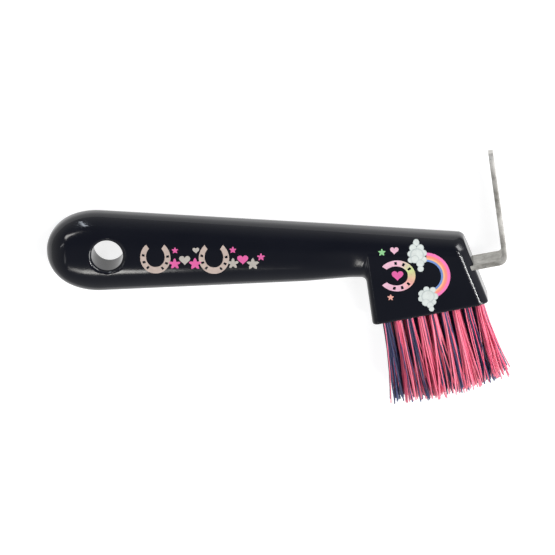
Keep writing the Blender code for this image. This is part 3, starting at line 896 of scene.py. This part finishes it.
def cloud(film, centre, lobes, turn=0.0):
    """Overlapping discs (x, y, radius), each a little above the last, with a greyer rim."""
    for k, (x, y, radius) in enumerate(lobes):
        middle = turned([(x, y)], centre, turn)[0]
        film.shape(polar(lambda a: radius, middle, sides=36), middle, WHITE, 4, CLOUD_RIM, k * 0.000008)


def band(film, centre, inner, outer, start, end, colour, steps=40, across=2):
    """Part of a ring of one colour, from one angle to another."""
    columns = []
    for i in range(steps + 1):
        a = start + (end - start) * i / steps
        radii = [inner + (outer - inner) * j / across for j in range(across + 1)]
        columns.append([(centre[0] + r * math.cos(a), centre[1] + r * math.sin(a)) for r in radii])
    film.grid(columns, [colour] * (steps + 1))


# %% A horseshoe
SHOE_GAP = math.radians(34)  # half the opening between the shoe's ends
SHOE_ROWS = 56
SHOE_STRIPS = 4  # faces across the shoe; a nail hole takes the middle two
SHOE_NAILS = (8, 14, 20, 35, 41, 47)  # the rows with a nail hole
SHOE_HEIGHT = 0.92  # of its width


def shades_along(colours, count):
    """Blends a list of colours into this many steps."""
    shades = []
    for i in range(count):
        place = (len(colours) - 1) * i / (count - 1)
        k = int(place)
        a, b = colours[k], colours[min(k + 1, len(colours) - 1)]
        shades.append(tuple(p + (q - p) * (place - k) for p, q in zip(a, b)))
    return shades


def horseshoe(film, centre, outer, width, turn, colours):
    """A shoe that opens at the given angle, with its nail holes left bare."""
    rows = []
    for i in range(SHOE_ROWS + 1):
        a = SHOE_GAP + (2 * math.pi - 2 * SHOE_GAP) * i / SHOE_ROWS
        toward_end = abs(i / SHOE_ROWS - 0.5) * 2
        wide = width * (1.08 - 0.30 * toward_end)
        rim = outer * (1.0 + 0.10 * toward_end**3)
        row = []
        for j in range(SHOE_STRIPS + 1):
            inset = wide * (1 - j / SHOE_STRIPS)
            row.append(((rim - inset) * math.cos(a), (rim * SHOE_HEIGHT - inset) * math.sin(a)))
        rows.append(turned(row, centre, turn))
    film.grid(rows, shades_along(colours, SHOE_ROWS + 1))
    first = len(film.faces) - SHOE_STRIPS * SHOE_ROWS
    bare = [i - back for i in SHOE_NAILS for back in (0, 1)]
    holes = {first + SHOE_STRIPS * i + strip for i in bare for strip in (1, 2)}
    film.faces = [face for k, face in enumerate(film.faces) if k not in holes]


# %% Lay the films on the skin
FILM_ABOVE = 0.00004
CLOUD_ABOVE = 0.00006  # the clouds lie over the ends of the rainbow
FILM_WALL = 0.00010


def lay(name, film, above=FILM_ABOVE):
    """Puts the gathered motifs on the skin as one thin solid."""
    places = np.array(film.points)
    heights = face_height(places) + above + np.array(film.lifts)
    obj = add_mesh(name, np.column_stack([places, heights]), film.faces)
    colour = obj.data.color_attributes.new("ink", "FLOAT_COLOR", "POINT")
    colour.data.foreach_set("color", np.array(film.colours).ravel())
    bm = bmesh.new()
    bm.from_mesh(obj.data)
    bmesh.ops.delete(bm, geom=[vert for vert in bm.verts if not vert.link_faces], context="VERTS")
    bmesh.ops.recalc_face_normals(bm, faces=bm.faces)
    for face in bm.faces:
        if face.normal.z < 0:
            face.normal_flip()
    bm.to_mesh(obj.data)
    bm.free()
    wall = obj.modifiers.new("film", "SOLIDIFY")
    wall.thickness = FILM_WALL
    wall.offset = -1.0
    bake_modifiers(obj)
    print(name, len(obj.data.polygons), "faces")
    return obj


# %% The row of motifs on the grip
grip_film = Film()
for shoe_centre in ((0.0418, -0.0008), (0.0640, -0.0010)):
    horseshoe(grip_film, shoe_centre, 0.0061, 0.0025, math.pi / 2, [CREAM])
for x, y, kind, size, colour in (
    (0.0491, -0.0030, flower, 0.0022, PINK), (0.0493, 0.0024, star, 0.0013, PINK),
    (0.0529, -0.0016, heart, 0.0021, GREY_CREAM), (0.0568, -0.0030, star, 0.0025, PINK),
    (0.0572, 0.0024, heart, 0.0013, GREY_CREAM), (0.0712, -0.0028, flower, 0.0022, GREY_CREAM),
    (0.0712, 0.0026, star, 0.0014, PINK), (0.0749, -0.0014, heart, 0.0021, PINK),
    (0.0787, -0.0030, star, 0.0025, GREY_CREAM), (0.0818, -0.0002, flower, 0.0015, PINK),
):
    grip_film.shape(kind((x, y), size), (x, y), colour)
grip_prints = lay("grip_prints", grip_film)

# %% The rainbow, the clouds and the shoe on the head
RAINBOW_CENTRE = (0.1440, -0.0079)
RAINBOW_OUTER = 0.0094
RAINBOW_BANDS = (0.0011, 0.0010, 0.0006, 0.0008)
RAINBOW_ENDS = (math.radians(-82), math.radians(88))
SHOE_COLOURS = [PALE_PINK, PALE_PINK, PEACH, PALE_LIME, PALE_PINK, PALE_PINK]

head_film = Film()
outer = RAINBOW_OUTER
for width, colour in zip(RAINBOW_BANDS, RAINBOW):
    band(head_film, RAINBOW_CENTRE, outer - width, outer, *RAINBOW_ENDS, colour)
    outer -= width
horseshoe(head_film, (0.1336, -0.0078), 0.0066, 0.0027, math.pi, SHOE_COLOURS)
for x, y, kind, size, colour in (
    (0.1275, 0.0016, star, 0.0015, MINT), (0.1322, 0.0022, heart, 0.0016, PALE_PINK),
    (0.1334, -0.0078, heart, 0.0022, PINK), (0.1308, -0.0165, star, 0.0013, PEACH),
):
    head_film.shape(kind((x, y), size), (x, y), colour)
head_prints = lay("head_prints", head_film)

cloud_film = Film()
UPPER_CLOUD = (
    (0.0000, 0.0052, 0.0012), (-0.0013, 0.0034, 0.0014), (0.0014, 0.0032, 0.0014), (-0.0023, 0.0012, 0.0013),
    (0.0025, 0.0012, 0.0013), (-0.0024, -0.0012, 0.0012), (0.0024, -0.0014, 0.0013), (0.0000, 0.0006, 0.0026),
    (-0.0009, -0.0010, 0.0016), (0.0010, -0.0028, 0.0015), (0.0010, -0.0050, 0.0012),
)
LOWER_CLOUD = (
    (-0.0004, 0.0034, 0.0012), (0.0020, 0.0030, 0.0012), (-0.0022, 0.0018, 0.0014), (-0.0026, -0.0002, 0.0012),
    (0.0025, 0.0004, 0.0014), (0.0018, -0.0018, 0.0012), (0.0000, 0.0006, 0.0025), (-0.0010, -0.0018, 0.0015),
    (0.0006, -0.0030, 0.0013), (0.0010, -0.0046, 0.0010),
)
cloud(cloud_film, (0.1408, 0.0), UPPER_CLOUD, math.radians(4))
cloud(cloud_film, (0.1450, -0.0166), LOWER_CLOUD, math.radians(4))
cloud_prints = lay("cloud_prints", cloud_film, CLOUD_ABOVE)

# %% [markdown]
# ## Finishes
# Every finish is built from noise in Object coordinates or in the piece's own map, so it stays on the piece
# from any side.

# %% Helpers for finishes
def finish(name):
    """A new material with a Principled shader."""
    material = bpy.data.materials.new(name)
    material.use_nodes = True
    tree = material.node_tree
    return material, tree, tree.nodes["Principled BSDF"]


def object_place(tree, scale=(1.0, 1.0, 1.0), turn=0.0):
    """Object coordinates, stretched by the scale and turned about Z."""
    mapping = tree.nodes.new("ShaderNodeMapping")
    mapping.inputs["Scale"].default_value = scale
    mapping.inputs["Rotation"].default_value = (0.0, 0.0, turn)
    link_in(tree, mapping.inputs["Vector"], tree.nodes.new("ShaderNodeTexCoord").outputs["Object"])
    return mapping.outputs[0]


def noise(tree, place, scale, detail=2.0, roughness=0.5):
    made = tree.nodes.new("ShaderNodeTexNoise")
    link_in(tree, made.inputs["Vector"], place)
    for name, value in (("Scale", scale), ("Detail", detail), ("Roughness", roughness)):
        made.inputs[name].default_value = value
    return made.outputs["Fac"]


def between(tree, value, low, high, to_low, to_high):
    """Maps low..high of a value to new limits, and holds it there."""
    made = tree.nodes.new("ShaderNodeMapRange")
    for socket, number in zip(made.inputs, (value, low, high, to_low, to_high)):
        link_in(tree, socket, number)
    return made.outputs[0]


def blend_colours(tree, share, first, second, how="MIX"):
    made = tree.nodes.new("ShaderNodeMix")
    made.data_type = "RGBA"
    made.blend_type = how
    link_in(tree, made.inputs["Factor"], share)
    link_in(tree, made.inputs["A"], first)
    link_in(tree, made.inputs["B"], second)
    return made.outputs["Result"]


def bump(tree, shader, height, distance, strength=1.0, below=None):
    made = tree.nodes.new("ShaderNodeBump")
    made.inputs["Distance"].default_value = distance
    made.inputs["Strength"].default_value = strength
    link_in(tree, made.inputs["Height"], height)
    if below is not None:
        link_in(tree, made.inputs["Normal"], below)
    link_in(tree, shader.inputs["Normal"], made.outputs[0])
    return made.outputs[0]


# %% [markdown]
# The moulding is gloss polypropylene, black with a navy cast. A mirror-flat black looks like computer
# graphics; the real skin has a faint swell from the mould, fine rubbing marks that run along the grip, and
# small dull patches where hands hold it.

# %% Gloss black moulding
def gloss_black():
    material, tree, shader = finish("gloss_black_moulding")
    tint = noise(tree, object_place(tree), 60.0, 3.0)
    colour = blend_colours(tree, tint, (0.0030, 0.0038, 0.0072, 1.0), (0.0056, 0.0064, 0.0105, 1.0))
    link_in(tree, shader.inputs["Base Color"], colour)
    handled = noise(tree, object_place(tree, (0.6, 1.0, 1.0)), 45.0, 4.0, 0.6)
    dull = between(tree, handled, 0.35, 0.75, 0.085, 0.17)
    marks = noise(tree, object_place(tree, (12.0, 900.0, 300.0), math.radians(4)), 1.0, 3.0, 0.7)
    crossing = noise(tree, object_place(tree, (10.0, 700.0, 260.0), math.radians(-23)), 1.0, 3.0, 0.7)
    crossed = between(tree, crossing, 0.69, 0.76, 0.0, 0.06)
    rubbed = math_node(tree, "ADD", between(tree, marks, 0.66, 0.74, 0.0, 0.07), crossed)
    link_in(tree, shader.inputs["Roughness"], math_node(tree, "ADD", dull, rubbed))
    shader.inputs["IOR"].default_value = 1.47
    swell = noise(tree, object_place(tree), 170.0, 1.0)
    skin = bump(tree, shader, swell, 0.00006, 0.35)
    grain = noise(tree, object_place(tree), 2600.0, 2.0)
    bump(tree, shader, grain, 0.000008, 0.35, skin)
    return material


# %% [markdown]
# The strip is zinc-plated spring steel. Its grain runs along the strip, so the finish reads the map that
# was laid down with the sheet: noise squeezed hard across the strip gives the brushed lines, and a wider
# noise gives the cloudy plating. The last centimetre is scoured brighter by use.

# %% Brushed steel
def brushed_steel():
    material, tree, shader = finish("brushed_plated_steel")
    along = tree.nodes.new("ShaderNodeUVMap")
    along.uv_map = "along_strip"

    def stretched(x, y):
        mapping = tree.nodes.new("ShaderNodeMapping")
        mapping.inputs["Scale"].default_value = (x, y, 1.0)
        link_in(tree, mapping.inputs["Vector"], along.outputs[0])
        return mapping.outputs[0]

    lines = noise(tree, stretched(60.0, 3800.0), 1.0, 4.0, 0.65)
    scratches = noise(tree, stretched(90.0, 1500.0), 1.0, 6.0, 0.8)
    clouds = noise(tree, object_place(tree), 210.0, 5.0, 0.62)
    spots = noise(tree, object_place(tree), 900.0, 2.0)
    split = tree.nodes.new("ShaderNodeSeparateXYZ")
    link_in(tree, split.inputs[0], along.outputs[0])
    used = between(tree, split.outputs[0], strip_end - 0.016, strip_end - 0.003, 0.0, 1.0)
    cloudy = between(tree, clouds, 0.36, 0.66, 0.0, 1.0)
    plated = blend_colours(tree, cloudy, (0.29, 0.28, 0.255, 1.0), (0.56, 0.55, 0.52, 1.0))
    spotted = between(tree, spots, 0.62, 0.72, 0.0, 0.75)
    stained = blend_colours(tree, spotted, plated, (0.18, 0.17, 0.15, 1.0))
    scoured = math_node(tree, "MULTIPLY", used, between(tree, scratches, 0.4, 0.6, 0.2, 1.0))
    bright = blend_colours(tree, scoured, stained, (0.60, 0.59, 0.57, 1.0))
    link_in(tree, shader.inputs["Base Color"], bright)
    shader.inputs["Metallic"].default_value = 1.0
    dull = between(tree, clouds, 0.3, 0.7, 0.38, 0.52)
    rough = math_node(tree, "ADD", dull, between(tree, lines, 0.35, 0.65, -0.05, 0.08))
    link_in(tree, shader.inputs["Roughness"], rough)
    deep = bump(tree, shader, lines, 0.00003, 0.5)
    cuts = between(tree, scratches, 0.62, 0.70, 0.0, 1.0)
    bump(tree, shader, cuts, 0.00004, 0.6, deep)
    return material


# %% [markdown]
# Filament is drawn polypropylene with a waxy sheen. Every filament has its own shade, kept as an attribute
# by the tree, and its cut end scatters a little more light.

# %% Filaments
def filament(name, dark, light, tip):
    material, tree, shader = finish(name)
    own = tree.nodes.new("ShaderNodeAttribute")
    own.attribute_name = "shade"
    along = tree.nodes.new("ShaderNodeAttribute")
    along.attribute_name = "along"
    streaks = noise(tree, object_place(tree, (1.0, 0.12, 1.0)), 1500.0, 2.0)
    owned = math_node(tree, "MULTIPLY", own.outputs["Fac"], 0.75)
    shade = math_node(tree, "ADD", owned, math_node(tree, "MULTIPLY", streaks, 0.25))
    drawn = blend_colours(tree, shade, dark, light)
    ends = between(tree, along.outputs["Fac"], 0.90, 1.0, 0.0, 0.35)
    link_in(tree, shader.inputs["Base Color"], blend_colours(tree, ends, drawn, tip))
    link_in(tree, shader.inputs["Roughness"], between(tree, streaks, 0.3, 0.7, 0.30, 0.44))
    shader.inputs["Sheen Weight"].default_value = 0.1
    bump(tree, shader, streaks, 0.00003, 0.4)
    return material


# %% Staple wire and ink
def staple_wire():
    material, tree, shader = finish("drawn_anchor_wire")
    drawn = noise(tree, object_place(tree, (400.0, 400.0, 2500.0)), 1.0, 3.0)
    colour = blend_colours(tree, drawn, (0.50, 0.42, 0.27, 1.0), (0.68, 0.60, 0.44, 1.0))
    link_in(tree, shader.inputs["Base Color"], colour)
    shader.inputs["Metallic"].default_value = 1.0
    link_in(tree, shader.inputs["Roughness"], between(tree, drawn, 0.3, 0.7, 0.28, 0.45))
    bump(tree, shader, drawn, 0.00002, 0.4)
    return material


def pad_ink():
    material, tree, shader = finish("pad_print_ink")
    laid = tree.nodes.new("ShaderNodeAttribute")
    laid.attribute_name = "ink"
    uneven = noise(tree, object_place(tree), 500.0, 4.0, 0.6)
    thin = between(tree, uneven, 0.3, 0.7, 0.0, 0.16)
    worn = blend_colours(tree, thin, laid.outputs["Color"], (0.02, 0.02, 0.03, 1.0))
    specks = noise(tree, object_place(tree), 2400.0, 2.0)
    speckled = between(tree, specks, 0.70, 0.76, 0.0, 0.5)
    colour = blend_colours(tree, speckled, worn, (0.01, 0.01, 0.02, 1.0))
    link_in(tree, shader.inputs["Base Color"], colour)
    link_in(tree, shader.inputs["Roughness"], between(tree, uneven, 0.3, 0.7, 0.30, 0.45))
    bump(tree, shader, uneven, 0.00002, 0.3)
    return material


# %% Dress the pieces
def dress(obj, material):
    obj.data.materials.clear()
    obj.data.materials.append(material)


dress(body, gloss_black())
dress(hook, brushed_steel())
print_ink = pad_ink()
for piece in (grip_prints, head_prints, cloud_prints):
    dress(piece, print_ink)

tree = bristle_tree()
pink_finish = filament(
    "pink_filament_finish", (0.64, 0.040, 0.130, 1.0), (1.0, 0.270, 0.370, 1.0), (1.0, 0.40, 0.48, 1.0),
)
navy_finish = filament(
    "navy_filament_finish", (0.008, 0.010, 0.042, 1.0), (0.038, 0.046, 0.150, 1.0), (0.045, 0.09, 0.24, 1.0),
)
bristles_pink = grow("bristles_pink", tree, True, pink_finish)
bristles_navy = grow("bristles_navy", tree, False, navy_finish)

wire = staple_wire()
for name, obj in frame["nodes"].items():
    if name.startswith("staple"):
        obj.material_slots[0].material = wire

# %% [markdown]
# ## Studio
# Gloss black shows the room more than itself. The printed face looks up at a dark ceiling, so it stays
# black, and the long flank sees the pale floor, which draws the grey band along the top. Small lights to
# the left draw the highlights on the heel and in the hollow of the neck, and large ones to the right light
# the steel and bristles.

# %% Floor and room
FLOOR_HALF = 12.0


def studio_floor():
    mesh = bpy.data.meshes.new("floor")
    corners = [(x * FLOOR_HALF, y * FLOOR_HALF, 0) for x, y in ((-1, -1), (1, -1), (1, 1), (-1, 1))]
    mesh.from_pydata(corners, [], [(0, 1, 2, 3)])
    obj = new_object("floor", mesh)
    material, tree, shader = finish("pale_floor")
    shader.inputs["Base Color"].default_value = (0.42, 0.42, 0.42, 1.0)
    shader.inputs["Roughness"].default_value = 0.9
    shader.inputs["Specular IOR Level"].default_value = 0.1
    shader.inputs["Emission Color"].default_value = (1.0, 1.0, 1.0, 1.0)
    shader.inputs["Emission Strength"].default_value = 0.80
    dress(obj, material)
    return obj


def studio_world():
    """Dim overhead, paler towards the horizon."""
    world = bpy.data.worlds.new("studio")
    bpy.context.scene.world = world
    world.use_nodes = True
    tree = world.node_tree
    split = tree.nodes.new("ShaderNodeSeparateXYZ")
    link_in(tree, split.inputs[0], tree.nodes.new("ShaderNodeTexCoord").outputs["Generated"])
    height = between(tree, split.outputs[2], 0.0, 0.98, 1.0, 0.0)
    height = math_node(tree, "POWER", height, 0.8)
    shade = blend_colours(tree, height, (0.07, 0.07, 0.08, 1.0), (0.74, 0.74, 0.75, 1.0))
    link_in(tree, tree.nodes["Background"].inputs["Color"], shade)
    tree.nodes["Background"].inputs["Strength"].default_value = 1.0


floor = studio_floor()
studio_world()


# %% Lights
def softbox(name, direction, distance, size, power, tint=(1.0, 1.0, 1.0)):
    """A rectangular light that faces the pick from a direction."""
    data = bpy.data.lights.new(name, "AREA")
    data.shape = "RECTANGLE"
    data.size, data.size_y = size
    data.energy = power
    data.color = tint
    away = Vector(direction).normalized()
    turn = away.to_track_quat("Z", "Y").to_matrix().to_4x4()
    place = Vector((0.0, 0.0, 0.01)) + away * distance
    new_object(name, data).matrix_world = Matrix.Translation(place) @ turn


softbox("tall_left", (-0.29, 0.66, 0.68), 1.6, (0.030, 1.00), 2.6, (0.84, 0.91, 1.0))
softbox("upper_left", (-0.33, 0.15, 0.93), 1.6, (0.26, 0.28), 2.2, (1.0, 0.98, 0.95))
softbox("lower_left", (-0.32, -0.36, 0.88), 1.6, (0.12, 0.12), 0.10)
softbox("neck_glint", (-0.125, -0.52, 0.845), 1.6, (0.085, 0.12), 0.62, (1.0, 0.98, 0.94))
softbox("edge_left", (-0.52, -0.14, 0.84), 1.6, (0.024, 0.40), 0.45)
softbox("side_right", (0.80, 0.50, 0.75), 2.0, (0.9, 0.9), 22.0)
softbox("front_right", (0.85, -0.45, 0.62), 2.0, (0.9, 0.9), 21.0)
softbox("end_right", (0.56, -0.11, 0.82), 1.6, (0.05, 0.60), 6.0)


# %% Camera
CAMERA_DISTANCE = 1.466
LENS = 249.7
SENSOR = 36.0
toward_camera = Vector((0.035, 0.342, 0.939)).normalized()
aim = heel + Vector((0.0877, -0.01107, 0.0))

camera = new_object("camera", bpy.data.cameras.new("camera"))
camera.data.lens = LENS
camera.data.sensor_width = SENSOR
camera.data.clip_end = 20.0
right = (Vector((1, 0, 0)) - toward_camera * toward_camera.x).normalized()
up = toward_camera.cross(right)
facing = Matrix((right, up, toward_camera)).transposed().to_4x4()
camera.matrix_world = Matrix.Translation(aim + toward_camera * CAMERA_DISTANCE) @ facing
bpy.context.scene.camera = camera

bpy.context.scene.view_settings.view_transform = "Standard"

# %% [markdown]
# ## The pieces on the body
# Each new piece rides on the pick's one body, and the imported pieces that it stands for are hidden.

# %% Attach the pieces and hide the imported ones
tufts = sorted(name for name in frame["nodes"] if name.startswith("tuft"))
pink_columns = (2, 3, 4, 7, 9)  # a tuft counts as the colour that most of it has
pink_tufts = [name for name in tufts if int(name.rsplit("_", 1)[1]) in pink_columns]
navy_tufts = [name for name in tufts if name not in pink_tufts]

for piece in (body, hook, bristles_pink, bristles_navy, grip_prints, head_prints, cloud_prints):
    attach(piece, "root")
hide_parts("handle")
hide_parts("hook")
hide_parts(*pink_tufts)
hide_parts(*navy_tufts)
